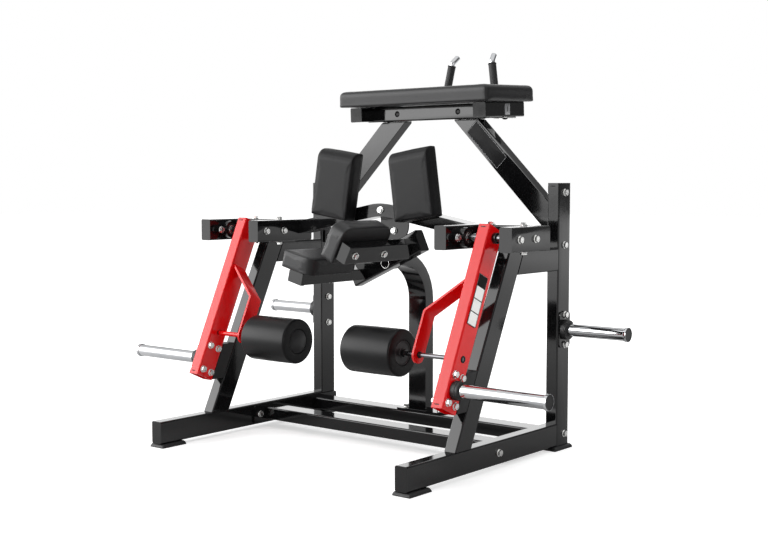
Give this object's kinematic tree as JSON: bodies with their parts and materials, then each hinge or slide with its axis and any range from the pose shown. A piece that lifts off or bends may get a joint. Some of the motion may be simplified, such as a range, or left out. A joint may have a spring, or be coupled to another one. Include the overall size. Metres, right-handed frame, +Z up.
{
  "type": "kneeling leg curl machine",
  "caption": "Kneeling leg curl machine: twin swinging roller arms with plate sleeves, tilting knee rest, thigh pads, chest pad, upright handles on a dark tube frame.",
  "frame": {"origin": "on the floor, under the middle of the machine's overall box", "axes": "+Z up, +Y towards the handles at the back, +X to the right of the person kneeling on the machine and facing the handles; metres"},
  "size_m": [1.96, 1.2616, 1.5359],
  "materials": {
    "frame_paint": "semi-gloss dark grey powder coat",
    "arm_paint": "semi-gloss red powder coat",
    "upholstery": "soft matt dark grey vinyl, fine grain",
    "roller_foam": "matt black foam roller sleeve",
    "chrome_sleeve": "polished chrome plating",
    "bare_steel": "bright turned steel",
    "handle_chrome": "polished chrome plating",
    "rubber": "matt black rubber",
    "collar_plastic": "satin black plastic"
  },
  "bodies": {
    "machine_frame": {"arch_post": "frame_paint", "arm_stop_L": "rubber", "arm_stop_R": "rubber", "base_rail_L": "frame_paint", "base_rail_R": "frame_paint", "bridge": "frame_paint", "chest_pad": "upholstery", "end_plate_L": "frame_paint", "end_plate_R": "frame_paint", "foot_front_L": "rubber", "foot_front_R": "rubber", "foot_rear_L": "rubber", "foot_rear_R": "rubber", "front_cross_tube": "frame_paint", "handle_L": "handle_chrome", "handle_R": "handle_chrome", "handle_grip_L": "rubber", "handle_grip_R": "rubber", "pivot_back_tube_L": "frame_paint", "pivot_back_tube_R": "frame_paint", "pivot_bearing_inner_L": "frame_paint", "pivot_bearing_inner_R": "frame_paint", "pivot_bearing_outer_L": "frame_paint", "pivot_bearing_outer_R": "frame_paint", "pivot_inner_wall_L": "frame_paint", "pivot_inner_wall_R": "frame_paint", "pivot_outer_wall_L": "frame_paint", "pivot_outer_wall_R": "frame_paint", "rear_cross_tube": "frame_paint", "rear_post_L": "frame_paint", "rear_post_R": "frame_paint", "side_tube_L": "frame_paint", "side_tube_R": "frame_paint", "slanted_post_L": "frame_paint", "slanted_post_R": "frame_paint", "storage_horn_L": "chrome_sleeve", "storage_horn_R": "chrome_sleeve", "thigh_pad_L": "upholstery", "thigh_pad_R": "upholstery", "top_frame": "frame_paint", "upper_tube_L": "frame_paint", "upper_tube_R": "frame_paint"},
    "arm_left": {"arm_L": "arm_paint", "pivot_shaft_L": "bare_steel", "arm_horn_collar_L": "collar_plastic", "arm_horn_L": "chrome_sleeve", "roller_bracket_L": "arm_paint", "roller_axle_L": "bare_steel"},
    "arm_right": {"arm_R": "arm_paint", "pivot_shaft_R": "bare_steel", "arm_horn_collar_R": "collar_plastic", "arm_horn_R": "chrome_sleeve", "roller_bracket_R": "arm_paint", "roller_axle_R": "bare_steel"},
    "roller_left": {"roller_foam_L": "roller_foam"},
    "roller_right": {"roller_foam_R": "roller_foam"},
    "knee_rest": {"knee_rocker": "frame_paint", "knee_pad_L": "upholstery", "knee_pad_R": "upholstery"},
    "pull_pin": {"knee_pull_pin": "bare_steel"}
  },
  "joints": [
    {"name": "arm_left_swing", "type": "hinge", "parent": "machine_frame", "child": "arm_left", "pos_m": [-0.589, -0.14305, 0.8108], "axis": [-1, 0, 0], "range_deg": [0, 100]},
    {"name": "arm_right_swing", "type": "hinge", "parent": "machine_frame", "child": "arm_right", "pos_m": [0.589, -0.14305, 0.8108], "axis": [-1, 0, 0], "range_deg": [0, 100]},
    {"name": "roller_left_spin", "type": "hinge", "parent": "arm_left", "child": "roller_left", "pos_m": [-0.248, -0.32596, 0.41128], "axis": [1, 0, 0], "continuous": true},
    {"name": "roller_right_spin", "type": "hinge", "parent": "arm_right", "child": "roller_right", "pos_m": [0.248, -0.32596, 0.41128], "axis": [1, 0, 0], "continuous": true},
    {"name": "knee_rest_tilt", "type": "hinge", "parent": "machine_frame", "child": "knee_rest", "pos_m": [0, 0.06995, 0.7085], "axis": [0, 1, 0], "range_deg": [0, 49.6]},
    {"name": "pull_pin_slide", "type": "slide", "parent": "knee_rest", "child": "pull_pin", "axis": [0, -1, 0], "range_m": [0, 0.01], "stiffness_N_per_m": 300, "springref_m": -0.004}
  ]
}
